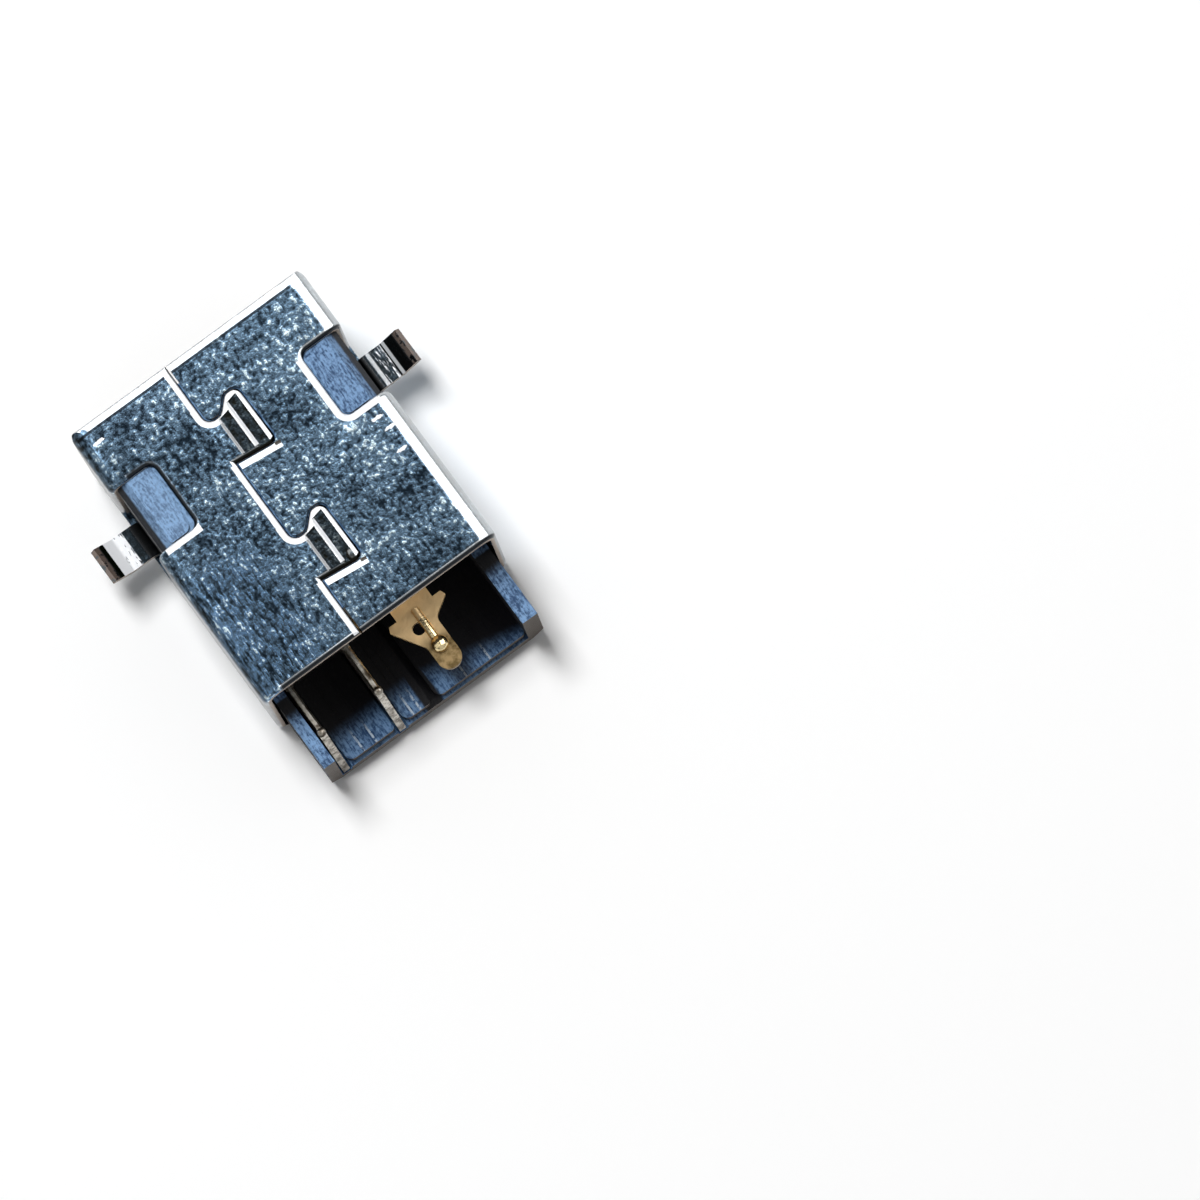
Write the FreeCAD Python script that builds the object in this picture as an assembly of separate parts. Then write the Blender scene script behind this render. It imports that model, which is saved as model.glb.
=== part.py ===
import FreeCAD, Part
import math
import os

V = FreeCAD.Vector

# Frame: X across the jack, +Y along the plug to the cable end, +Z to the seam wall.
# The origin is the middle of the jack's footprint, on the plain wall's outer face.
shell_width = 9.4
shell_height = 7.2
seam_wall_length = 11.0
tray_overhang = 2.5
overall_length = seam_wall_length + tray_overhang
front = -overall_length / 2
rear = overall_length / 2
shell_rear = front + seam_wall_length

# The barrel plug that the jack takes
plug_outer = 5.5
plug_bore = 1.7
plug_axis_z = shell_height / 2

# Shell strip
sheet = 0.25
bend_radius = 0.6
lip = 0.3
lip_drop = 0.35
front_roll_length = 0.4
front_roll_depth = 0.16
edge_roll = 0.2

# Jigsaw seam, closed by two hooks that stand on the +X leaf
seam_gap = 0.05
seam_x = 0.75
hook_count = 2
hook_pitch = 4.8
hook_start = 2.38
hook_length = 1.85
hook_reach = 1.52
hook_rise = 0.5
hook_neck = 0.48
hook_slant = 0.18
hook_splay = 0.05
hook_bend = 0.28

# Two troughs staked into each hook, with a ridge between them
stake_depth = 0.09
stake_slope = 0.1
outer_trough = 0.47
inner_trough = 0.5
stake_margin = 0.2
stake_ridge = 0.04

# Slope pressed into the -X leaf along the edge behind each hook
press_width = 0.25
press_depth = 0.12
press_run = 1.6

# Window and wing in each side
window_start = 2.34
window_length = 2.58
notch_depth = 1.68
notch_corner = 0.28
wing_width = 1.3
wing_centre = 3.45
wing_level = 2.3
wing_bend = 0.3
wing_flat = 0.85
wing_tip_out = 0.7
wing_tip_up = 0.5

# Moulded housing
housing_setback = 0.7
housing_corner = 0.4
mouth_chamfer = 0.25
bore_clearance = 0.2
bore_depth = 8.4
bulkhead = 0.85
lock_boss_height = 0.12
lock_boss_front_gap = 0.2
lock_boss_rear_gap = 0.03
blade_side_gap = 0.18
pin_side_gap = 0.04
tray_side_step = 0.1
tray_wall = 0.6
tray_wall_rise = 0.7
tray_base = 0.65
pad_height = 0.42
pad_setback = 0.12
pad_corner = 0.3
groove_gap = 0.08
centre_groove = 0.26
blade_sink = 0.3
mould_line_width = 0.07
mould_line_height = 0.05

# Centre pin
pin_clearance = 0.05
pin_setback = 1.0
pin_nose_radius = 0.5
pin_nose_length = 0.5
pin_flange_radius = 1.2
pin_flange = 0.35
pin_neck_radius = 0.6
pin_tail_radius = 0.4
pin_rivet_radius = 0.57
pin_rivet_height = 0.2
pin_rivet_edge = 0.14
pin_hole_gap = 0.02

# Centre terminal
terminal_sheet = 0.25
terminal_x = -1.2
terminal_drop = 0.58
terminal_bend = 0.25
terminal_rise = 0.7
stem_width = 1.45
ear_start = 0.95
ear_reach = 1.13
ear_depth = 0.1
lobe_radius = 0.43
lobe_end = 3.22
rib_radius = 0.15
dome_radius = 0.3
dome_lift = 0.06
dome_from_end = 0.93
eye_radius = 0.22

# Sleeve contact
contact_sheet = 0.25
outer_blade_x = 3.71
inner_blade_x = 1.4
arm_width = 1.4
spring_press = 0.25
crest_from_mouth = 4.4
arm_tip_rise = 0.7
arm_tip_run = 1.2
arm_bend = 0.4
fork_bend = 0.32
fork_height = 1.15
fork_lift = 0.05
blade_shoulder = 1.05
blade_corner = 0.14
blade_toe = 0.2
coined_start = 0.3
coined_width = 0.06
coined_depth = 0.12
bead_radius = 0.17
arm_slot_gap = 0.04

# Places that follow from the sizes above
wall_inner_x = shell_width / 2 - sheet
housing_front = front + housing_setback
bore_radius = plug_outer / 2 + bore_clearance
bore_floor = housing_front + bore_depth
bulkhead_rear = bore_floor + bulkhead
pin_radius = plug_bore / 2 - pin_clearance / 2
tray_wall_top = plug_axis_z + tray_wall_rise
tray_outer_x = wall_inner_x - tray_side_step
tray_inner_x = tray_outer_x - tray_wall
tray_floor_z = sheet + tray_base
pad_top_z = tray_floor_z + pad_height
window_y = front + window_start
wing_y = front + wing_centre
window_sill = wing_level - wing_bend
arm_bottom = plug_axis_z - arm_width / 2
arm_top = plug_axis_z + arm_width / 2
crest_y = housing_front + crest_from_mouth
blade_foot_z = tray_floor_z - blade_sink
fork_low = pad_top_z + mould_line_height + fork_lift
terminal_level = plug_axis_z - terminal_drop
terminal_plate_top = plug_axis_z + terminal_rise
blade_start = bulkhead_rear + contact_sheet / 2 + fork_bend
shoulder_y = rear - blade_shoulder


def corner(before, at, after, radius):
    """Start, middle and end of the round that joins two straight runs at a corner."""
    to_before = (before - at).normalize()
    to_after = (after - at).normalize()
    half = to_before.getAngle(to_after) / 2
    inward = (to_before + to_after).normalize()
    centre = at + inward * (radius / math.sin(half))
    trim = radius / math.tan(half)
    return at + to_before * trim, centre - inward * radius, at + to_after * trim


def outline_edges(points, radii, closed):
    """Straight edges through the points, with a round at each point whose radius isn't 0."""
    points = [V(*p) for p in points]
    count = len(points)
    edges = []
    pen = None if closed else points[0]
    first = None
    for i in range(count) if closed else range(1, count - 1):
        before, at, after = points[i - 1], points[i], points[(i + 1) % count]
        if radii[i] > 0:
            start, middle, end = corner(before, at, after, radii[i])
        else:
            start, middle, end = at, None, at
        if pen is None:
            first = start
        elif start.distanceToPoint(pen) > 1e-6:
            edges.append(Part.makeLine(pen, start))
        if middle is not None:
            edges.append(Part.Arc(start, middle, end).toShape())
        pen = end
    last = first if closed else points[-1]
    if last.distanceToPoint(pen) > 1e-6:
        edges.append(Part.makeLine(pen, last))
    return edges


def plate(points, radii=None):
    """Flat face inside a closed outline."""
    radii = radii or [0] * len(points)
    return Part.Face(Part.Wire(outline_edges(points, radii, True)))


def strip(points, radii, width):
    """Flat face of an even width along an open path; radii are those of the path's middle."""
    path = [V(*p) for p in points]
    runs = [(b - a).normalize() for a, b in zip(path, path[1:])]
    sides = []
    for side in (1, -1):
        shifted = []
        side_radii = []
        for i, at in enumerate(path):
            run_in = runs[max(i - 1, 0)]
            run_out = runs[min(i, len(runs) - 1)]
            normal_in = V(-run_in.y, run_in.x)
            normal_out = V(-run_out.y, run_out.x)
            across = normal_in + normal_out
            reach = width / (1 + normal_in.dot(normal_out))
            shifted.append(at + across * (side * reach / 2))
            turn = run_in.x * run_out.y - run_in.y * run_out.x
            grow = -side * math.copysign(width / 2, turn)
            side_radii.append(max(radii[i] + grow, 0) if radii[i] > 0 else 0)
        sides.append((shifted, side_radii))
    left, right = [outline_edges(s, r, False) for s, r in sides]
    caps = [
        Part.makeLine(sides[0][0][0], sides[1][0][0]),
        Part.makeLine(sides[0][0][-1], sides[1][0][-1]),
    ]
    return Part.Face(Part.Wire(Part.__sortEdges__(left + right + caps)))


def along_z(face, low, high):
    """Solid of a face drawn in (x, y), from z low to z high."""
    face = face.copy()
    face.translate(V(0, 0, low))
    return face.extrude(V(0, 0, high - low))


def along_y(face, low, high):
    """Solid of a face drawn in (x, z), from y low to y high."""
    face = face.copy()
    face.rotate(V(), V(1, 0, 0), 90)
    face.translate(V(0, low, 0))
    return face.extrude(V(0, high - low, 0))


def along_x(face, low, high):
    """Solid of a face drawn in (y, z), from x low to x high."""
    face = face.copy()
    face.rotate(V(), V(1, 1, 1), 120)
    face.translate(V(low, 0, 0))
    return face.extrude(V(high - low, 0, 0))


def box(x0, x1, y0, y1, z0, z1):
    return Part.makeBox(x1 - x0, y1 - y0, z1 - z0, V(x0, y0, z0))


def rod(radius, y0, y1, x=0.0, z=plug_axis_z):
    return Part.makeCylinder(radius, y1 - y0, V(x, y0, z), V(0, 1, 0))


def mirrored(shape):
    return shape.mirror(V(), V(1, 0, 0))


def round_tube_section(inset, radius):
    """Rounded rectangle of the shell's cross-section, brought in by the inset."""
    x = shell_width / 2 - inset
    low, high = inset, shell_height - inset
    points = [(-x, low), (x, low), (x, high), (-x, high)]
    return plate(points, [radius] * 4)


def seam_path():
    """Middle of the seam's slit from front to rear, with the round at each point."""
    points = [(seam_x, front - 1)]
    radii = [0]
    tab_x = seam_x - hook_reach
    for k in range(hook_count):
        start = front + hook_start + k * hook_pitch
        end = start + hook_length
        neck_x = seam_x - hook_neck
        points += [
            (seam_x, start),
            (neck_x, start),
            (neck_x - hook_rise, start - hook_rise),
            (tab_x, start - hook_rise),
            (tab_x - hook_splay, end),
            (seam_x, end - hook_slant),
        ]
        radii += [hook_bend, hook_bend, hook_bend, hook_bend, hook_bend, 0]
    points.append((seam_x, shell_rear + 1))
    radii.append(0)
    return points, radii


def hook_leaf():
    """The room on the +X side of the seam's middle, where the leaf with the hooks is."""
    points, radii = seam_path()
    points += [(shell_width, shell_rear + 1), (shell_width, front - 1)]
    return along_z(plate(points, radii + [0, 0]), 0, shell_height + 1)


def trough(left, right, y0, y1, skew):
    """Staked trough from x left to right, with a sloping wall on its +X side."""
    floor = shell_height - stake_depth
    section = plate(
        [
            (left, floor),
            (right - stake_slope, floor),
            (right, shell_height),
            (right, shell_height + 1),
            (left, shell_height + 1),
        ]
    )
    outline = plate([(left, y0 + skew), (right, y0), (right, y1), (left, y1 + 0.04)])
    return along_y(section, front, rear).common(along_z(outline, 0, shell_height + 2))


def stake_marks():
    """The two troughs of each hook: one along its tip, one along its neck."""
    marks = []
    for k in range(hook_count):
        start = front + hook_start + k * hook_pitch
        end = start + hook_length
        tip = seam_x - hook_reach + stake_margin
        ridge = tip + outer_trough
        neck = ridge + stake_ridge
        marks.append(trough(tip, ridge, start - 0.18, end - 0.2, -0.1))
        marks.append(trough(neck, neck + inner_trough, start + 0.14, end - 0.3, -0.1))
    return marks


def press_marks():
    """Slopes that lock the hooks, each along the slanted edge behind its hook."""
    low = shell_height - press_depth
    high = shell_height + 1
    section = plate([(0, low), (press_width, shell_height), (press_width, high), (0, high)])
    slant = math.degrees(math.atan2(hook_slant, hook_reach + hook_splay))
    marks = []
    for k in range(hook_count):
        hook_rear = front + hook_start + k * hook_pitch + hook_length
        mark = along_x(section, -press_run, 0)
        mark.rotate(V(), V(0, 0, 1), -slant)
        mark.translate(V(seam_x, hook_rear - hook_slant, 0))
        marks.append(mark)
    return marks


def window_cut():
    """Notch in the seam wall and the window below it in the +X side wall."""
    inner_x = shell_width / 2 - notch_depth
    outer_x = shell_width / 2 + 1
    y0, y1 = window_y, window_y + window_length
    points = [(inner_x, y0), (outer_x, y0), (outer_x, y1), (inner_x, y1)]
    face = plate(points, [notch_corner, 0, 0, notch_corner])
    return along_z(face, window_sill, shell_height + 1)


def wing():
    """Wing lanced out of the +X side wall and turned up at its end."""
    wall_x = shell_width / 2 - sheet / 2
    turn_x = shell_width / 2 + wing_flat
    points = [
        (wall_x, window_sill - wing_bend),
        (wall_x, wing_level),
        (turn_x, wing_level),
        (turn_x + wing_tip_out, wing_level + wing_tip_up),
    ]
    face = strip(points, [0, wing_bend, wing_bend, 0], sheet)
    return along_y(face, wing_y - wing_width / 2, wing_y + wing_width / 2)


def set_back_cut():
    """Brings the side walls and the plain wall back from the seam wall's front lip."""
    top = shell_height - sheet
    points = [
        (front - 1, top),
        (front, top),
        (front + lip, top - lip_drop),
        (front + lip, -1),
        (front - 1, -1),
    ]
    return along_x(plate(points), -shell_width, shell_width)


def front_roll_cut():
    """Takes the seam wall's front edge down in a long, shallow roll."""
    centre = V(front + front_roll_length, shell_height - front_roll_depth, 0)
    ellipse = Part.Ellipse(centre, front_roll_length, front_roll_depth)
    arc = Part.Arc(ellipse, math.pi / 2, math.pi).toShape()
    top = V(centre.x, shell_height, 0)
    low = V(front, centre.y, 0)
    far = front - 0.2
    high = shell_height + 0.2
    sides = [
        Part.makeLine(top, V(top.x, high, 0)),
        Part.makeLine(V(top.x, high, 0), V(far, high, 0)),
        Part.makeLine(V(far, high, 0), V(far, low.y, 0)),
        Part.makeLine(V(far, low.y, 0), low),
    ]
    face = Part.Face(Part.Wire(Part.__sortEdges__([arc] + sides)))
    return along_x(face, -shell_width, shell_width)


def on_outer_face(point):
    """True for a point on the outside of the wrapped strip."""
    x, z = abs(point.x), point.z
    flat_x = shell_width / 2 - bend_radius
    low, high = bend_radius, shell_height - bend_radius
    dx = max(x - flat_x, 0)
    dz = max(low - z, z - high, 0)
    reach = math.hypot(dx, dz) if dx and dz else max(dx, dz)
    return abs(reach - bend_radius) < 1e-4


def rolled_edges(shape):
    """Cut edges on the outside: the hooks' side of the seam, the windows and the rear end."""
    leaf = hook_leaf()
    chosen = []
    for edge in shape.Edges:
        middle = edge.valueAt((edge.FirstParameter + edge.LastParameter) / 2)
        ends = [v.Point for v in edge.Vertexes]
        if not all(on_outer_face(p) for p in ends + [middle]):
            continue
        ys = [p.y for p in ends] + [middle.y]
        at_rear = min(ys) > shell_rear - 1e-6
        at_front = max(ys) < front + front_roll_length + 0.02
        on_seam_wall = min(p.z for p in ends) > shell_height - 1e-6
        in_seam = on_seam_wall and max(abs(p.x) for p in ends) < seam_x + 0.2
        in_window = (
            min(ys) > window_y - 1e-6
            and max(ys) < window_y + window_length + 1e-6
            and max(abs(p.x) for p in ends) > shell_width / 2 - notch_depth - 1e-6
            and not in_seam
        )
        above_sill = min(p.z for p in ends) > window_sill + 0.5
        on_leaf = in_seam and not at_front and leaf.isInside(middle, 1e-6, False)
        if at_rear or on_leaf or (in_window and above_sill):
            chosen.append(edge)
    return chosen


def make_shell():
    outer = along_y(round_tube_section(0, bend_radius), front, shell_rear)
    inner = along_y(round_tube_section(sheet, bend_radius - sheet), front - 1, shell_rear + 1)
    tube = outer.cut(inner)
    points, radii = seam_path()
    slit = along_z(strip(points, radii, seam_gap), shell_height - 2 * sheet, shell_height + 1)
    cuts = [set_back_cut(), slit, window_cut(), mirrored(window_cut())]
    shell = tube.cut(Part.makeCompound(cuts))
    shell = shell.makeFillet(edge_roll, rolled_edges(shell))
    shell = shell.cut(Part.makeCompound([front_roll_cut()] + stake_marks() + press_marks()))
    return shell.fuse([wing(), mirrored(wing())]).removeSplitter()


def tray_grooves():
    """Grooves along the tray for the two blades, and the plain one in the middle."""
    cuts = []
    for x in (outer_blade_x, inner_blade_x):
        half = contact_sheet / 2 + groove_gap
        cuts.append(box(x - half, x + half, bulkhead_rear, rear + 1, blade_foot_z, shell_height))
    half = centre_groove / 2
    cuts.append(box(-half, half, bulkhead_rear, rear + 1, tray_floor_z, shell_height))
    return cuts


def tray_pads():
    """Raised floor of the tray, square at the front and rounded at the rear corners."""
    x = tray_inner_x
    low, high = bulkhead_rear, rear - pad_setback
    middles = (outer_blade_x, inner_blade_x, 0.0, -x - 0.1)
    halves = (contact_sheet / 2 + groove_gap, contact_sheet / 2 + groove_gap, centre_groove / 2, 0.1)
    pads = []
    for k in range(len(middles) - 1):
        right = min(middles[k] - halves[k], x)
        left = middles[k + 1] + halves[k + 1]
        points = [(left, low), (right, low), (right, high), (left, high)]
        face = plate(points, [0, 0, pad_corner, pad_corner / 2])
        pads.append(along_z(face, tray_floor_z, pad_top_z))
        for share in (0.33, 0.6):
            line_x = right + (left - right) * share
            pads.append(
                box(
                    line_x - mould_line_width / 2,
                    line_x + mould_line_width / 2,
                    low,
                    high,
                    pad_top_z,
                    pad_top_z + mould_line_height,
                )
            )
    return pads


def lock_boss(gap):
    """Boss that fills the +X notch and keeps the housing from sliding out of the shell."""
    inner_x = shell_width / 2 - notch_depth + gap
    outer_x = wall_inner_x - housing_corner
    y0 = window_y + lock_boss_front_gap
    y1 = window_y + window_length - lock_boss_rear_gap
    top = shell_height - sheet
    points = [(inner_x, y0), (outer_x, y0), (outer_x, y1), (inner_x, y1)]
    face = plate(points, [0.08, 0.08, 0.08, notch_corner])
    return along_z(face, top - 2 * housing_corner, top + lock_boss_height)


def arm_room():
    """Slot for the spring arm through the bulkhead, and its room beside the bore."""
    half = contact_sheet / 2 + arm_slot_gap
    low, high = arm_bottom - arm_slot_gap, arm_top + arm_slot_gap
    slot = box(outer_blade_x - half, outer_blade_x + half, 0, bulkhead_rear + 1, low, high)
    room_front = crest_y - arm_tip_run - 0.5
    room = box(0, outer_blade_x + half, room_front, bore_floor - 0.6, low - 0.1, high + 0.1)
    return [slot, room]


def cut_corners(block, levels):
    """Block with its edges along Y chamfered at the given heights."""
    edges = [
        e
        for e in block.Edges
        if abs(e.Vertexes[0].Y - e.Vertexes[-1].Y) > 1
        and min(abs(e.CenterOfMass.z - level) for level in levels) < 1e-6
    ]
    return block.makeChamfer(housing_corner, edges)


def make_housing():
    low, high = sheet, shell_height - sheet
    block = box(-wall_inner_x, wall_inner_x, housing_front, bulkhead_rear, low, high)
    tray = box(-tray_outer_x, tray_outer_x, bulkhead_rear, rear, low, tray_wall_top)
    well = box(-tray_inner_x, tray_inner_x, bulkhead_rear, rear + 1, tray_floor_z, shell_height)
    body = cut_corners(block, (low, high)).fuse(cut_corners(tray, (low,))).cut(well)
    bosses = [lock_boss(blade_side_gap), mirrored(lock_boss(pin_side_gap))]
    body = body.fuse(bosses + tray_pads())
    bore = rod(bore_radius, housing_front - 1, bore_floor)
    mouth = Part.makeCone(
        bore_radius + mouth_chamfer,
        bore_radius,
        mouth_chamfer,
        V(0, housing_front, plug_axis_z),
        V(0, 1, 0),
    )
    pin_hole = rod(pin_neck_radius + pin_hole_gap, bore_floor - 1, bulkhead_rear + 1)
    cuts = [bore, mouth, pin_hole] + arm_room() + tray_grooves()
    return body.cut(Part.makeCompound(cuts)).removeSplitter()


def make_centre_pin():
    tip = housing_front + pin_setback
    flange_front = bore_floor - pin_flange
    plate_rear = bulkhead_rear + terminal_sheet
    axis = V(0, 1, 0)
    nose = Part.makeCone(pin_nose_radius, pin_radius, pin_nose_length, V(0, tip, plug_axis_z), axis)
    pin = rod(pin_radius, tip + pin_nose_length, flange_front)
    flange = rod(pin_flange_radius, flange_front, bore_floor)
    neck = rod(pin_neck_radius, bore_floor, bulkhead_rear)
    tail = rod(pin_tail_radius, bulkhead_rear, plate_rear)
    rivet = rod(pin_rivet_radius, plate_rear, plate_rear + pin_rivet_height)
    rim = [e for e in rivet.Edges if e.CenterOfMass.y > plate_rear + 0.1 and len(e.Vertexes) == 1]
    rivet = rivet.makeChamfer(pin_rivet_edge, rim)
    return pin.fuse([nose, flange, neck, tail, rivet]).removeSplitter()


def make_centre_terminal():
    upright_y = bulkhead_rear + terminal_sheet / 2
    tab_top = terminal_level + terminal_sheet / 2
    tab_low = terminal_level - terminal_sheet / 2
    ear_y = bulkhead_rear + ear_start
    end_y = bulkhead_rear + lobe_end
    path = [
        (upright_y, terminal_plate_top),
        (upright_y, terminal_level),
        (ear_y + ear_depth, terminal_level),
    ]
    stem = along_x(
        strip(path, [0, terminal_bend, 0], terminal_sheet),
        terminal_x - stem_width / 2,
        terminal_x + stem_width / 2,
    )
    eye_rim = pin_rivet_radius + 0.15
    upright_low = plug_axis_z - eye_rim + 0.1
    upright_points = [
        (terminal_x - stem_width / 2, upright_low),
        (eye_rim, upright_low),
        (eye_rim, terminal_plate_top),
        (terminal_x - stem_width / 2, terminal_plate_top),
    ]
    upright_face = plate(upright_points, [0, 0.3, 0.3, 0.2])
    upright = along_y(upright_face, bulkhead_rear, bulkhead_rear + terminal_sheet)
    tail_hole = rod(pin_tail_radius, bulkhead_rear - 1, bulkhead_rear + 1)
    half = lobe_radius
    tab_points = [
        (terminal_x + ear_reach - 0.08, ear_y - 0.1),
        (terminal_x + ear_reach, ear_y + ear_depth),
        (terminal_x + half, end_y - 1.06),
        (terminal_x + half, end_y),
        (terminal_x - half, end_y),
        (terminal_x - half, ear_y + 0.55),
        (terminal_x - ear_reach, ear_y + ear_depth),
        (terminal_x - ear_reach + 0.08, ear_y - 0.1),
    ]
    tab_radii = [0.05, 0.05, 0.2, half * 0.98, half * 0.98, 0.3, 0.05, 0.05]
    tab = along_z(plate(tab_points, tab_radii), tab_low, tab_top)
    dome_y = end_y - dome_from_end
    rib = rod(rib_radius, ear_y - 0.1, dome_y, terminal_x, tab_top)
    dome = Part.makeSphere(dome_radius, V(terminal_x, dome_y, tab_top + dome_lift))
    raised = rib.fuse(dome).common(
        box(terminal_x - 1, terminal_x + 1, ear_y - 1, end_y, tab_low, shell_height)
    )
    eye = Part.makeCylinder(
        eye_radius,
        1,
        V(terminal_x + eye_radius + rib_radius * 0.3, ear_y + 0.52, tab_low - 0.5),
    )
    sheet_part = stem.fuse([upright, tab]).removeSplitter().cut(eye.fuse(tail_hole))
    return sheet_part.fuse(raised).removeSplitter()


def blade(x):
    """Upright blade: coined level top, a bead at the shoulder, a long slant to the toe."""
    half = contact_sheet / 2
    toe_y = rear - 0.04
    points = [
        (blade_start, blade_foot_z),
        (toe_y, blade_foot_z),
        (toe_y, blade_foot_z + blade_toe),
        (shoulder_y, arm_top),
        (blade_start, arm_top),
    ]
    body = along_x(plate(points, [0, 0, 0, blade_corner, 0]), x - half, x + half)
    low = arm_top - coined_depth
    coined = []
    for side in (-half, half):
        inner = x + side * (1 - coined_width / half)
        wedge = plate([(inner, arm_top), (x + side, low), (x + 2 * side, low), (x + 2 * side, arm_top)])
        coined.append(along_y(wedge, blade_start + coined_start, shoulder_y))
    bead = Part.makeSphere(bead_radius, V(x, shoulder_y, arm_top - bead_radius / 2))
    return body.cut(Part.makeCompound(coined)).fuse(bead)


def make_sleeve_contact():
    half = contact_sheet / 2
    plate_y = bulkhead_rear + half
    crest_x = plug_outer / 2 - spring_press + half
    arm_points = [
        (outer_blade_x, blade_start + 0.2),
        (outer_blade_x, bore_floor - 0.7),
        (crest_x, crest_y),
        (crest_x + arm_tip_rise, crest_y - arm_tip_run),
    ]
    arm = strip(arm_points, [0, 1.5, arm_bend, 0], contact_sheet)
    arm = along_z(arm, arm_bottom, arm_top)
    fork_points = [
        (inner_blade_x, blade_start + 0.2),
        (inner_blade_x, plate_y),
        (outer_blade_x, plate_y),
        (outer_blade_x, blade_start + 0.2),
    ]
    fork = strip(fork_points, [0, fork_bend, fork_bend, 0], contact_sheet)
    fork = along_z(fork, fork_low, fork_low + fork_height)
    return fork.fuse([arm, blade(outer_blade_x), blade(inner_blade_x)]).removeSplitter()


def main():
    os.makedirs("parts", exist_ok=True)
    make_shell().exportStep("parts/shell.step")
    make_housing().exportStep("parts/housing.step")
    make_centre_pin().exportStep("parts/centre_pin.step")
    make_centre_terminal().exportStep("parts/centre_terminal.step")
    make_sleeve_contact().exportStep("parts/sleeve_contact.step")


main()
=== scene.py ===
import math

import bpy
from mathutils import Matrix, Vector


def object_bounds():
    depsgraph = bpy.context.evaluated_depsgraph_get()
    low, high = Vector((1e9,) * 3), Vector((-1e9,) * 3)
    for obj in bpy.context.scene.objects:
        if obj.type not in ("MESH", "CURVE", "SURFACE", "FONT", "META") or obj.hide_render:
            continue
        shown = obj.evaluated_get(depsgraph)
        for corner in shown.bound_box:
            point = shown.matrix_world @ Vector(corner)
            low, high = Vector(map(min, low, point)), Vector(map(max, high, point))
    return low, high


MM = 0.001

# Where the photograph puts the jack in its 1200-pixel frame
FRAME_PIXELS = 1200
PIXELS_PER_MM = 30.5
JACK_PIXEL_X = 281.75
JACK_PIXEL_Y = 484.94
JACK_POINT_BEHIND_FRONT = 5.5 * MM
CAMERA_DISTANCE = 380 * MM
TILT_TO_TRAY = math.radians(8.2)
TILT_TO_BLADES = math.radians(2.4)
PLUG_AXIS_ANGLE = math.radians(-53.47)
SENSOR_MM = 36.0

# Lamps: directions in the jack's own axes, distances and sizes in metres
KEY_TOWARD = (0.035, -0.29, 1.0)
KEY_DISTANCE = 0.4
KEY_ACROSS = 0.09
KEY_ALONG = 0.16
KEY_RADIANCE = 31.3
BOX_DISTANCE = 0.3
BOX_SIDE = 0.4
STUDIO_STRENGTH = 0.2
GLINT_BOXES = (
    ("mouth_box", (0.0, -1.0, 0.85), 3.2),
    ("pin_side_box", (-1.0, 0.0, 1.0), 3.2),
    ("blade_side_box", (1.0, 0.0, 1.0), 0.6),
    ("cable_box", (0.0, 1.0, 0.85), 0.4),
)


# The table: half its side, and its gap under the jack, so that the two share no plane
TABLE_HALF = 0.6
TABLE_GAP = 0.02 * MM
TABLE_WHITE = (0.97, 0.97, 0.97, 1.0)

# Small painted highlights on marks in the plating, each at x, y, and half their size both ways, in
# millimetres
GLINT_SPOTS = ((-3.83, -1.19), (-4.0, -0.69), (-3.88, 0.14), (3.99, -6.0))
GLINT_SPOT_HALF_X = 0.22
GLINT_SPOT_HALF_Y = 0.07

# Levels at which a form of the jack begins, each with the end of a soft step, in millimetres
SEAM_WALL_Z = (7.0, 7.04)
SEAM_FACE_Z = (7.115, 7.135)
WING_OUT = (4.8, 4.86)
TRAY_Y = (4.0, 4.1)

# The seam's slit and the first of its two hooks, in millimetres
SLIT_X = 0.75
NECK_X = 0.27
NECK_RADIUS = 0.28
TIP_X = -0.77
TIP_RADIUS = 0.4
HOOK_Y = -4.37
HOOK_PITCH = 4.8
HOOK_RISE = 0.5
HOOK_END = 1.64
SEAM_MARGIN = (0.06, 0.28)

# The rounded corner of the notch on the side without blades, in millimetres
NOTCH_X = -3.3
NOTCH_Y = -2.11
NOTCH_RADIUS = 0.28
NOTCH_MARGIN = (0.03, 0.26)

# Colours of the plated strip, with its painted highlights and painted shade
PEBBLE_SHADE = (0.01, 0.018, 0.028)
PEBBLE_BLUE = (0.155, 0.25, 0.355)
PEBBLE_SPARKLE = (0.68, 0.83, 0.9)
DRAGGED_BLUE = (0.08, 0.19, 0.38)
BURNISHED = (0.55, 0.57, 0.58)
MOUTH_LINE_SHADE = (0.008, 0.01, 0.013)
AWAY_SIDE_SHADE = (0.03, 0.034, 0.038)
TROUGH_DARK_RIM_SHADE = (0.012, 0.011, 0.006)
EDGE_HIGHLIGHT_WHITE = (0.95, 0.97, 1.0)
WING_DARK = (0.035, 0.045, 0.05)
WING_BEND_SHADE = (0.05, 0.09, 0.03)
WING_SOIL = (0.17, 0.13, 0.11)
CUT_METAL = (0.34, 0.28, 0.23)

# Colours of the moulding, with its painted sheen and painted shade
NYLON_BLACK = (0.012, 0.014, 0.018)
NYLON_SHEEN_DARK = (0.02, 0.055, 0.13)
NYLON_SHEEN_PALE = (0.18, 0.32, 0.54)
BOSS_SHEEN = (0.36, 0.56, 0.82)
RIDGE_GLINT = (0.6, 0.7, 0.8)
TRAY_DEPTH_SHADE = (0.0, 0.03, 0.1)
TRAY_SHADOW_BLACK = (0.001, 0.001, 0.002)
END_GREY = (0.09, 0.075, 0.062)

# Colours of the contacts, with painted light and a painted highlight on the gold
GOLD_TARNISH = (0.1, 0.068, 0.028)
GOLD_DULL = (0.27, 0.19, 0.092)
GOLD_PAINTED_LIGHT = (0.95, 0.68, 0.36)
GOLD_POLISH_HIGHLIGHT = (0.95, 0.78, 0.45)
SILVER_TARNISH = (0.07, 0.052, 0.034)
SILVER_DULL = (0.56, 0.53, 0.47)
SILVER_BEIGE = (0.25, 0.225, 0.185)

SMOOTH_BELOW = math.radians(22)
MERGE_DISTANCE = 1e-4 * MM

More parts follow.
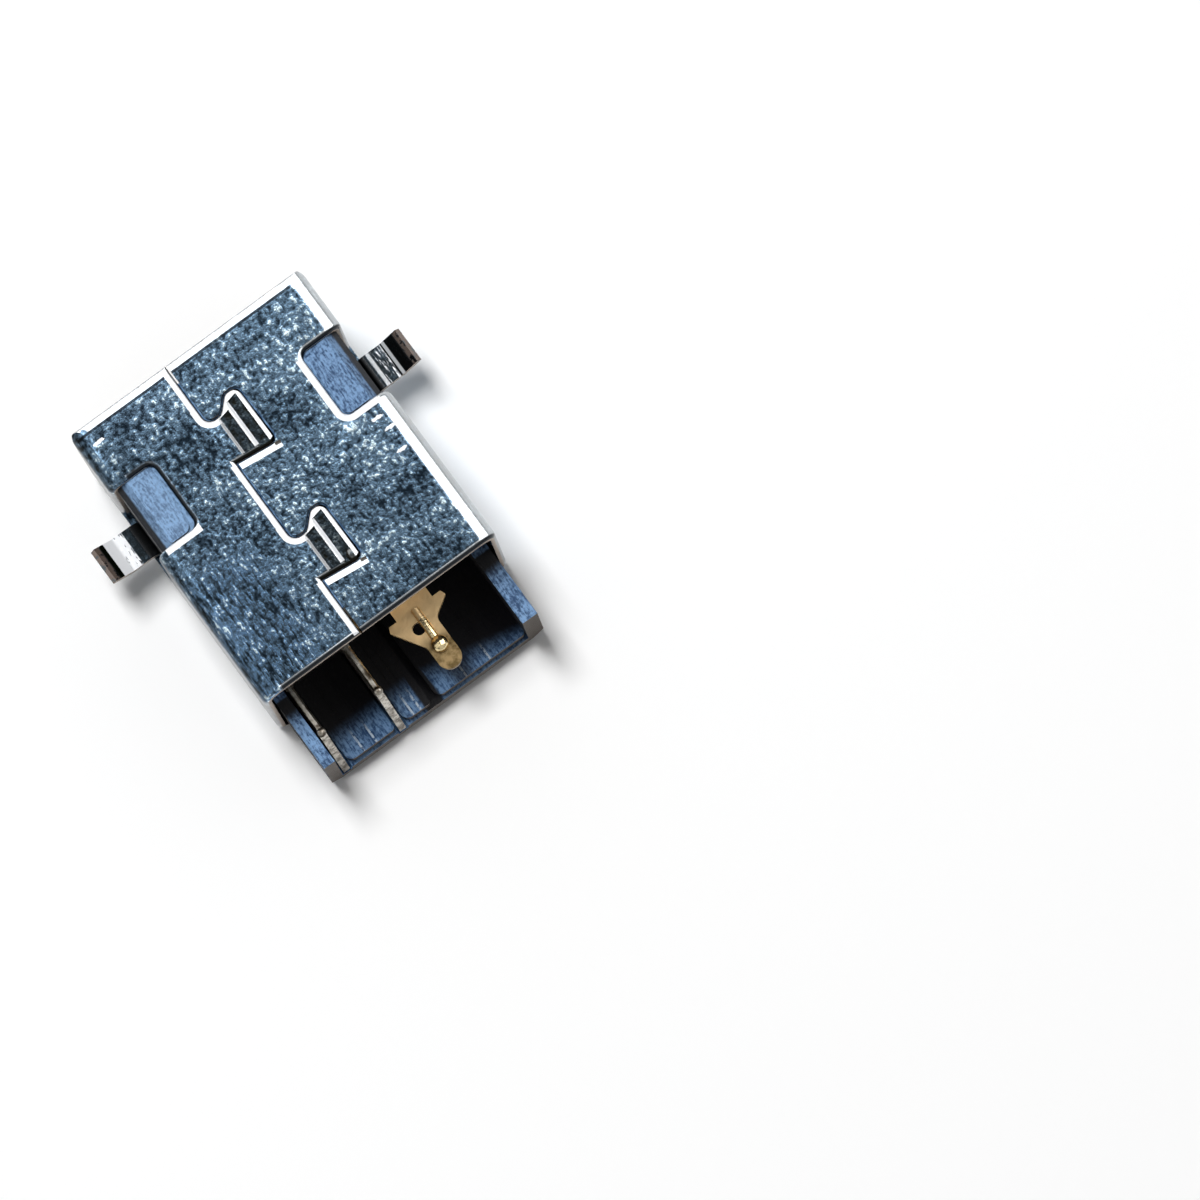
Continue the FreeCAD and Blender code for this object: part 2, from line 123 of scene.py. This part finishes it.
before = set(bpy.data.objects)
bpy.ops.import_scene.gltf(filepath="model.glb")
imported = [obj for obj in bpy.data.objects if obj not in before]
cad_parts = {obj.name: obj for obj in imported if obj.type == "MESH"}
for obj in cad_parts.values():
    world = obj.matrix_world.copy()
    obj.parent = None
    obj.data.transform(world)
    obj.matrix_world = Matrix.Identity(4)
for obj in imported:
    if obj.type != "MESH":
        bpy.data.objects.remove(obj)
cad_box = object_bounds()
front = cad_box[0][1]
top = cad_box[1][2]
jack_point = Vector((0.0, front + JACK_POINT_BEHIND_FRONT, top))


class Signal:
    """One value of a shader, so that sums of values read as sums."""

    def __init__(self, finish, socket):
        self.finish = finish
        self.socket = socket

    def math(self, operation, *others):
        inputs = dict(enumerate((self,) + others))
        return self.finish.node("ShaderNodeMath", {"operation": operation}, inputs)

    def __add__(self, other):
        return self.math("ADD", other)

    def __sub__(self, other):
        return self.math("SUBTRACT", other)

    def __mul__(self, other):
        return self.math("MULTIPLY", other)

    def __truediv__(self, other):
        return self.math("DIVIDE", other)

    def __rsub__(self, other):
        return (self * -1.0).math("ADD", other)

    __radd__ = __add__
    __rmul__ = __mul__

    def over(self, low, high):
        """0 below low, 1 above high, smooth between."""
        inputs = {"Value": self, "From Min": low, "From Max": high}
        settings = {"interpolation_type": "SMOOTHSTEP"}
        return self.finish.node("ShaderNodeMapRange", settings, inputs)

    def either(self, other):
        """The larger of two values."""
        return self.math("MAXIMUM", other)

    def both(self, other):
        """The smaller of two values."""
        return self.math("MINIMUM", other)

    def size(self):
        """The value without its sign."""
        return self.math("ABSOLUTE")


class Finish:
    """A material built from nodes."""

    def __init__(self, name):
        self.material = bpy.data.materials.new(name)
        self.material.use_nodes = True
        self.tree = self.material.node_tree
        self.tree.nodes.clear()
        self.shader = self.tree.nodes.new("ShaderNodeBsdfPrincipled")
        output = self.tree.nodes.new("ShaderNodeOutputMaterial")
        self.tree.links.new(self.shader.outputs["BSDF"], output.inputs["Surface"])

    def node(self, kind, settings, inputs, output=0):
        made = self.tree.nodes.new(kind)
        for name, value in settings.items():
            setattr(made, name, value)
        for name, value in inputs.items():
            self.feed(made.inputs[name], value)
        return Signal(self, made.outputs[output])

    def feed(self, socket, value):
        if isinstance(value, Signal):
            self.tree.links.new(value.socket, socket)
        else:
            socket.default_value = value

    def place(self):
        """The point on the piece, in millimetres."""
        point = self.node("ShaderNodeTexCoord", {}, {}, output="Object")
        return self.node(
            "ShaderNodeVectorMath", {"operation": "SCALE"}, {0: point, "Scale": 1 / MM}
        )

    def parts_of(self, vector):
        split = self.node("ShaderNodeSeparateXYZ", {}, {"Vector": vector})
        outputs = split.socket.node.outputs
        return [Signal(self, outputs[axis]) for axis in "XYZ"]

    def facing(self):
        """The way the surface faces, along each axis."""
        normal = self.node("ShaderNodeNewGeometry", {}, {}, output="Normal")
        return self.parts_of(normal)

    def stretched(self, place, x, y, z):
        return self.node(
            "ShaderNodeVectorMath", {"operation": "MULTIPLY"}, {0: place, 1: (x, y, z)}
        )

    def noise(self, place, scale, detail=2.0, roughness=0.5):
        inputs = {"Vector": place, "Scale": scale, "Detail": detail, "Roughness": roughness}
        return self.node("ShaderNodeTexNoise", {}, inputs)

    def blend(self, share, low, high):
        """Colour between two colours."""
        settings = {"data_type": "RGBA"}
        made = self.node("ShaderNodeMix", settings, {"Factor": share}).socket.node
        colours = [s for s in made.inputs if s.type == "RGBA"]
        self.feed(colours[0], self.rgba(low))
        self.feed(colours[1], self.rgba(high))
        output = [s for s in made.outputs if s.type == "RGBA"][0]
        return Signal(self, output)

    @staticmethod
    def rgba(colour):
        return colour if isinstance(colour, Signal) else (*colour, 1.0)

    def bump(self, height, depth_mm, strength=1.0):
        inputs = {"Strength": strength, "Distance": depth_mm * MM, "Height": height}
        return self.node("ShaderNodeBump", {}, inputs)

    def set(self, **values):
        for name, value in values.items():
            self.feed(self.shader.inputs[name.replace("_", " ").title()], value)


def between(value, low, high, soft=0.01):
    """1 between two levels, 0 beyond them."""
    return value.over(low - soft, low) * value.over(high + soft, high)


def past_corner(x, y, radius):
    """How far a point lies outside a rounded corner with its centre at 0, 0."""
    across = x.either(0.0)
    along = y.either(0.0)
    return (across * across + along * along).math("SQRT") - radius


def blots(x, y, ragged, places, half_x, half_y):
    """1 in a small ragged patch around each place."""
    together = 0.0
    for at_x, at_y in places:
        across = (x - at_x) / half_x
        along = (y - at_y) / half_y
        inside = 1.0 - across * across - along * along + (ragged - 0.5) * 2.4
        together = inside.over(0.0, 0.25).either(together)
    return together


def plated_strip():
    """Plated strip: dark pebbled flats, burnished rolls, bare metal at the cuts, painted highlights
    along edges and on the wings, painted shade where it faces away.
    """
    finish = Finish("plated_strip")
    place = finish.place()
    x, y, z = finish.parts_of(place)
    nx, ny, nz = finish.facing()
    flat = nx.size().either(ny.size()).either(nz.size()).over(0.985, 0.999)
    fleck = finish.noise(place, 9.5, 1.0, 0.5)
    grain, pebbled = pebbles(finish, place, x, y, fleck)
    top_wall = z.over(*SEAM_WALL_Z)
    shoulder = x.over(3.9, 4.0) * z.over(5.4, 6.9) * nx.over(0.0, 0.03)
    from_mouth = y - front / MM
    lip = between(from_mouth, 0.27, 0.45) * z.over(6.9, 7.0) * x.over(-4.15, -4.05)
    around_notch = between(x, 2.5, 4.4) * between(y, -4.95, -1.86) * top_wall
    worked = (1.0 - flat) * (1.0 - shoulder.either(lip).either(around_notch * 0.8))
    burnished = finish.blend(worked * 0.8, pebbled, BURNISHED)
    # Painted shade: a thin dark line at the foot of the rolled edge along the mouth
    lined = finish.blend(lip * from_mouth.over(0.37, 0.35) * 0.9, burnished, MOUTH_LINE_SHADE)
    # Painted shade: faces turned towards +x or +y, away from the lamps, are darkened, less so low
    # down near the foot
    away = nx.either(ny).over(0.2, 0.5) * x.size().over(4.85, 4.8) * (1.0 - shoulder)
    foot = z.over(1.4, 0.5) * 0.8
    away_shaded = finish.blend(away * (1.0 - foot), lined, AWAY_SIDE_SHADE)
    along = along_hook(y)
    before_slope = (1.75 - x * 0.115 - along).over(0.0, 0.03) * along.over(-0.4, -0.35)
    # The hooks' troughs and the lump at their end are painted near black
    trough = between(z, 7.05, 7.17) * x.size().over(0.85, 0.8) * before_slope
    trough_end = between(x, -0.57, -0.28) * between(y, 1.74, 2.12) * top_wall
    # Painted shade on the shoulder's outer edge, where it turns away from the lamps
    rim_shade = shoulder * nx.over(0.45, 0.8) * 0.55
    hollow = trough.either(trough_end) * 0.82
    deep = finish.blend(hollow.either(rim_shade), away_shaded, TROUGH_DARK_RIM_SHADE)
    # Painted highlights on small marks in the plating
    glint_spots = blots(x, y, fleck, GLINT_SPOTS, GLINT_SPOT_HALF_X, GLINT_SPOT_HALF_Y)
    edges = seam_glints(x, along, z).either(notch_glints(x, y)).either(glint_spots)
    glints = edges * top_wall * (1.0 - trough_end)
    white, soil, bend_shade = wing_marks(finish, place, x, z)
    # Painted highlights: nearly matt white along the seam, at the notches, on small marks and on the
    # wings
    bright = glints.either(white)
    marked = finish.blend(bright, deep, EDGE_HIGHLIGHT_WHITE)
    # The wings are painted darker, apart from their highlights
    wing = x.size().over(*WING_OUT) * (1.0 - bright)
    dim = finish.blend(wing * 0.85, marked, WING_DARK)
    bend_shaded = finish.blend(bend_shade, dim, WING_BEND_SHADE)
    soiled = finish.blend(soil, bend_shaded, WING_SOIL)
    cut = ny.size().over(0.9, 0.97)
    colour = finish.blend(cut, soiled, CUT_METAL)
    finish.set(base_color=colour, metallic=1.0 - bright * 0.85 - soil * 0.6)
    finish.set(roughness=0.26 - grain * 0.08 + cut * 0.2)
    finish.set(normal=finish.bump(grain * flat.either(shoulder), 0.05, 0.48))
    return finish.material


def pebbles(finish, place, x, y, fleck):
    """Grain of the plating and its colour, with drag marks on the blades' side and painted sparkle
    on the grain's crests.
    """
    pebble = finish.noise(place, 4.7, 2.6, 0.6)
    cloud = finish.noise(place, 0.5, 2.0)
    drag = finish.noise(finish.stretched(place, 7.5, 1.8, 7.5), 1.0, 2.0, 0.6)
    dragged = x.over(1.0, 3.0) * y.over(-1.5, 0.5) * 0.35
    # More painted sparkle near the front corner on the side without blades
    glint = x.over(-2.2, -3.6) * y.over(-4.4, -5.6) * 0.04
    mix = pebble * (0.55 - dragged) + fleck * 0.2 + drag * (0.25 + dragged)
    grain = mix + cloud * 0.3 - 0.15 + glint
    dark = finish.blend(grain.over(0.38, 0.6), PEBBLE_SHADE, PEBBLE_BLUE)
    blue = finish.blend(dragged * grain.over(0.45, 0.6) * 1.6, dark, DRAGGED_BLUE)
    return grain, finish.blend(grain.over(0.56, 0.64), blue, PEBBLE_SPARKLE)


def along_hook(y):
    """How far a point is behind the front of the hook's neck, the same for both hooks."""
    return (y - HOOK_Y + 0.6).math("FLOORED_MODULO", HOOK_PITCH) - 0.6


def seam_glints(x, along, z):
    """Painted highlight along the margin of the leaf with the hooks, and on the ridges between their
    troughs.
    """
    neck_side = past_corner(x - (SLIT_X - NECK_RADIUS), along + NECK_RADIUS, NECK_RADIUS)
    tip_side = past_corner(TIP_X + TIP_RADIUS - x, TIP_RADIUS - HOOK_RISE - along, TIP_RADIUS) * -1.0
    slant_side = (NECK_X - x + along) * math.sqrt(0.5)
    hook = x.over(NECK_X, NECK_X - 0.02) * along.over(HOOK_END, HOOK_END - 0.04)
    at_neck = between(neck_side, *SEAM_MARGIN) * x.over(NECK_X - 0.03, NECK_X - 0.01)
    at_tip = between(tip_side.both(slant_side), *SEAM_MARGIN) * hook
    behind_hook = along.over(HOOK_END, HOOK_END + 0.04)
    at_run = between(x, SLIT_X + 0.06, SLIT_X + 0.26) * behind_hook
    margin = at_neck.either(at_tip).either(at_run) * z.over(*SEAM_FACE_Z)
    ridge_glint = between(x, -0.2, -0.05) * between(along, -0.2, 1.55)
    inner_slope = between(x, 0.34, 0.44) * between(along, 0.1, 1.5)
    return margin.either(ridge_glint).either(inner_slope * 0.5)


def notch_glints(x, y):
    """Painted highlight on the edges of the notches in the seam wall, where they face the mouth."""
    around = between(past_corner(x - NOTCH_X, y - NOTCH_Y, NOTCH_RADIUS), *NOTCH_MARGIN)
    around = around * y.over(-4.35, -4.2) * x.over(-4.3, -4.2)
    bar = between(y, -1.81, -1.58) * between(x, 2.95, 4.35)
    return around.either(bar)


def wing_marks(finish, place, x, z):
    """Bands across the two wings: painted sheen and highlights, a soiled tip, and a band of painted
    shade at a bend.
    """
    out = x.size()
    low = z.over(3.6, 3.5) * out.over(*WING_OUT)
    plus = x.over(0.0, 1.0)
    drawn = finish.noise(finish.stretched(place, 13.0, 2.4, 3.0), 1.0, 2.0, 0.6)
    blot = finish.noise(place, 3.2, 3.0, 0.6)
    # Painted sheen on the flat of the wing on the blades' side
    sheen = plus * between(out, 5.13, 5.84, 0.03)
    sheen = sheen * (drawn.over(0.36, 0.42).either(out.over(5.4, 5.55)))
    # Painted highlights on the bends and scratches of the wing on the side without blades
    bends = between(out, 4.93, 5.02, 0.05).either(between(out, 5.57, 5.65, 0.04))
    scratches = between(out, 5.05, 5.5) * drawn.over(0.46, 0.7)
    streaks = (1.0 - plus) * (bends * 0.8).either(scratches)
    soil = out.over(5.98, 6.06) * blot.over(0.4, 0.5)
    # Painted shade on the bend before the tip of the wing on the blades' side
    bend_shade = plus * between(out, 5.87, 5.98, 0.02)
    return low * sheen.either(streaks), low * soil, low * bend_shade


def moulded_nylon():
    """Black glass-filled nylon with a fine moulded grain, a painted pale sheen where it faces up,
    and painted shade in the tray.
    """
    finish = Finish("moulded_nylon")
    place = finish.place()
    x, y, z = finish.parts_of(place)
    ny, nz = finish.facing()[1:]
    grain = finish.noise(place, 9.0, 3.0, 0.65)
    fibre = finish.noise(finish.stretched(place, 15.0, 3.2, 15.0), 1.0, 2.0, 0.6)
    patch = finish.noise(place, 1.4, 2.0)
    mottle = grain * 0.35 + fibre * 0.45 + patch * 0.2
    # Painted sheen of the faces that look up, mottled, paler on the bosses
    mottled = finish.blend(mottle.over(0.4, 0.58), NYLON_SHEEN_DARK, NYLON_SHEEN_PALE)
    boss = x.over(2.4, 2.6) * z.over(6.4, 6.5)
    lit = finish.blend(boss * 0.2, mottled, BOSS_SHEEN)
    inward = x.size().over(4.3, 4.22).either(z.over(5.0, 4.9))
    # Only faces that look up get the painted sheen; the rest stay black
    colour = finish.blend(nz.over(0.6, 0.75) * inward, NYLON_BLACK, lit)
    # Painted highlight on the mould ridges of the pads, towards the rear
    ridge_glint = between(z, 1.34, 1.4) * nz.over(0.8, 0.9) * y.over(5.6, 6.3) * grain.over(0.4, 0.5)
    lined = finish.blend(ridge_glint, colour, RIDGE_GLINT)
    in_tray = y.over(*TRAY_Y)
    # Painted shadow of the shell on the tray: black near the shell, fading towards the rear,
    # reaching further back on the side without blades
    reach = y + x.both(0.0) * 0.22
    shade = (z.over(4.28, 4.2) * reach.over(6.35, 5.3)).either(y.over(5.0, 4.5) * in_tray)
    # Painted shade along the groove in the middle of the tray
    gutter_shade = between(x, -0.2, 0.35, 0.15) * z.over(4.0, 3.5) * in_tray
    # Painted shade: the tray is darker below a height of 3 mm
    low = z.over(3.0, 2.8) * in_tray
    dim = finish.blend(low * 0.3, lined, TRAY_DEPTH_SHADE)
    shaded = finish.blend(shade.either(gutter_shade), dim, TRAY_SHADOW_BLACK)
    ended = finish.blend(ny.over(0.85, 0.95), shaded, END_GREY)
    finish.set(base_color=ended, roughness=0.62 - mottle * 0.2 + shade * 0.3)
    finish.feed(finish.shader.inputs["Specular IOR Level"], 0.2)
    finish.set(normal=finish.bump(mottle, 0.05, 1.0))
    return finish.material


def gold_plate():
    """Thin gold plate: tarnish at the solder lobe, painted light near the shell and inside it, and
    polish with a painted highlight on the raised rib and dome.
    """
    finish = Finish("gold_plate")
    place = finish.place()
    y, z = finish.parts_of(place)[1:]
    tarnish = finish.noise(place, 2.6, 3.0, 0.65)
    grain = finish.noise(place, 9.0, 2.0)
    colour = finish.blend(tarnish.over(0.36, 0.62), GOLD_TARNISH, GOLD_DULL)
    # Painted light: the gold is brighter near the shell and inside it, where it lies in the shell's
    # shadow
    lit_near_shell = finish.blend(y.over(5.6, 4.8) * 0.8, colour, GOLD_PAINTED_LIGHT)
    # The raised rib and dome: smoother polish, and a painted highlight in their colour
    raised = z.over(3.2, 3.26) * y.over(4.3, 4.6)
    polish_highlight = finish.blend(raised * 0.8, lit_near_shell, GOLD_POLISH_HIGHLIGHT)
    finish.set(base_color=polish_highlight, metallic=1.0, roughness=0.3 + tarnish * 0.2 - raised * 0.2)
    finish.set(normal=finish.bump(grain, 0.01, 0.6))
    return finish.material


def silver_plate():
    """Drawn silver plate with tarnish, beige where the blades slope down."""
    finish = Finish("silver_plate")
    place = finish.place()
    ny, nz = finish.facing()[1:]
    tarnish = finish.noise(place, 3.4, 3.0, 0.6)
    drawn = finish.noise(finish.stretched(place, 9.0, 1.6, 9.0), 1.0, 3.0, 0.6)
    shade = tarnish * 0.6 + drawn * 0.4
    colour = finish.blend(shade.over(0.38, 0.6), SILVER_TARNISH, SILVER_DULL)
    slant = ny.over(0.15, 0.25) * nz.over(0.3, 0.5)
    beige = finish.blend(slant * shade.over(0.4, 0.5), colour, SILVER_BEIGE)
    finish.set(base_color=beige, metallic=1.0 - slant * 0.7, roughness=0.4 - shade * 0.2)
    finish.set(normal=finish.bump(drawn, 0.015, 0.6))
    return finish.material


def smoothing_rule():
    """Joins a node's loose triangles and shades its round surfaces smooth."""
    rule = bpy.data.node_groups.new("smooth_rounds", "GeometryNodeTree")
    for way in ("INPUT", "OUTPUT"):
        rule.interface.new_socket("Geometry", in_out=way, socket_type="NodeSocketGeometry")
    given = rule.nodes.new("NodeGroupInput")
    merge = rule.nodes.new("GeometryNodeMergeByDistance")
    merge.inputs["Distance"].default_value = MERGE_DISTANCE
    faces = rule.nodes.new("GeometryNodeSetShadeSmooth")
    angle = rule.nodes.new("GeometryNodeInputMeshEdgeAngle")
    shallow = rule.nodes.new("FunctionNodeCompare")
    shallow.operation = "LESS_THAN"
    shallow.inputs["B"].default_value = SMOOTH_BELOW
    edges = rule.nodes.new("GeometryNodeSetShadeSmooth")
    edges.domain = "EDGE"
    result = rule.nodes.new("NodeGroupOutput")
    rule.links.new(given.outputs[0], merge.inputs["Geometry"])
    rule.links.new(merge.outputs[0], faces.inputs["Geometry"])
    rule.links.new(angle.outputs["Unsigned Angle"], shallow.inputs["A"])
    rule.links.new(shallow.outputs[0], edges.inputs["Shade Smooth"])
    rule.links.new(faces.outputs[0], edges.inputs["Geometry"])
    rule.links.new(edges.outputs[0], result.inputs[0])
    return rule


def dress(node, material):
    """Gives a CAD node its finish and smooth rounds."""
    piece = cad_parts[node]
    piece.data.materials.clear()
    piece.data.materials.append(material)
    smooth = piece.modifiers.new("smooth_rounds", "NODES")
    smooth.node_group = rounds
    even = piece.modifiers.new("even_flats", "WEIGHTED_NORMAL")
    even.keep_sharp = True


def lay_floor():
    """Plain white table under the jack."""
    low = cad_box[0][2] - TABLE_GAP
    turns = ((-1, -1), (1, -1), (1, 1), (-1, 1))
    corners = [(x * TABLE_HALF, y * TABLE_HALF, low) for x, y in turns]
    mesh = bpy.data.meshes.new("table_top")
    mesh.from_pydata(corners, [], [(0, 1, 2, 3)])
    table = bpy.data.objects.new("table_top", mesh)
    bpy.context.collection.objects.link(table)
    finish = Finish("white_table")
    finish.set(base_color=TABLE_WHITE, roughness=0.9)
    mesh.materials.append(finish.material)


def picture_axes():
    """Directions of the picture's right, its top, and the way back to the camera."""
    back = Vector((math.sin(TILT_TO_BLADES), math.sin(TILT_TO_TRAY), 0.0))
    back.z = math.sqrt(1 - back.length_squared)
    along = Vector((0, 1, 0))
    along = (along - back * along.dot(back)).normalized()
    across = along.cross(back)
    cosine, sine = math.cos(PLUG_AXIS_ANGLE), math.sin(PLUG_AXIS_ANGLE)
    return along * cosine + across * sine, along * sine - across * cosine, back


def set_camera():
    """Camera that puts the jack where the photograph has it."""
    right, up, back = picture_axes()
    data = bpy.data.cameras.new("camera")
    data.sensor_width = SENSOR_MM
    frame_width = FRAME_PIXELS / PIXELS_PER_MM * MM
    data.lens = SENSOR_MM * CAMERA_DISTANCE / frame_width
    data.clip_start = 0.01
    data.clip_end = 5.0
    camera = bpy.data.objects.new("camera", data)
    middle = FRAME_PIXELS / 2
    aside = (middle - JACK_PIXEL_X) / PIXELS_PER_MM * MM
    below = (JACK_PIXEL_Y - middle) / PIXELS_PER_MM * MM
    turn = Matrix((right, up, back)).transposed().to_4x4()
    spot = jack_point + right * aside + up * below + back * CAMERA_DISTANCE
    camera.matrix_world = Matrix.Translation(spot) @ turn
    bpy.context.collection.objects.link(camera)
    bpy.context.scene.camera = camera


def hang_lamp(name, toward, distance, across, along, radiance):
    """Soft box that looks at the jack, with one side along the plug's axis."""
    way = Vector(toward).normalized()
    side = Vector((0, 1, 0)).cross(way).normalized()
    data = bpy.data.lights.new(name, "AREA")
    data.shape = "RECTANGLE"
    data.size, data.size_y = across, along
    data.energy = radiance * math.pi * across * along
    lamp = bpy.data.objects.new(name, data)
    turn = Matrix((side, way.cross(side), way)).transposed().to_4x4()
    lamp.matrix_world = Matrix.Translation(way * distance) @ turn
    bpy.context.collection.objects.link(lamp)
    return lamp


def light_studio():
    """One lamp for colour and shadow, boxes that only glint in metal, and a dim studio."""
    key = hang_lamp("key", KEY_TOWARD, KEY_DISTANCE, KEY_ACROSS, KEY_ALONG, KEY_RADIANCE)
    key.visible_glossy = False
    for name, toward, radiance in GLINT_BOXES:
        box = hang_lamp(name, toward, BOX_DISTANCE, BOX_SIDE, BOX_SIDE, radiance)
        box.visible_diffuse = False
    world = bpy.data.worlds.new("studio")
    world.use_nodes = True
    background = world.node_tree.nodes["Background"]
    background.inputs["Color"].default_value = (1.0, 1.0, 1.0, 1.0)
    background.inputs["Strength"].default_value = STUDIO_STRENGTH
    bpy.context.scene.world = world


rounds = smoothing_rule()
dress("shell", plated_strip())
dress("housing", moulded_nylon())
gold = gold_plate()
dress("centre_pin", gold)
dress("centre_terminal", gold)
dress("sleeve_contact", silver_plate())
lay_floor()
set_camera()
light_studio()
bpy.context.scene.view_settings.view_transform = "Standard"
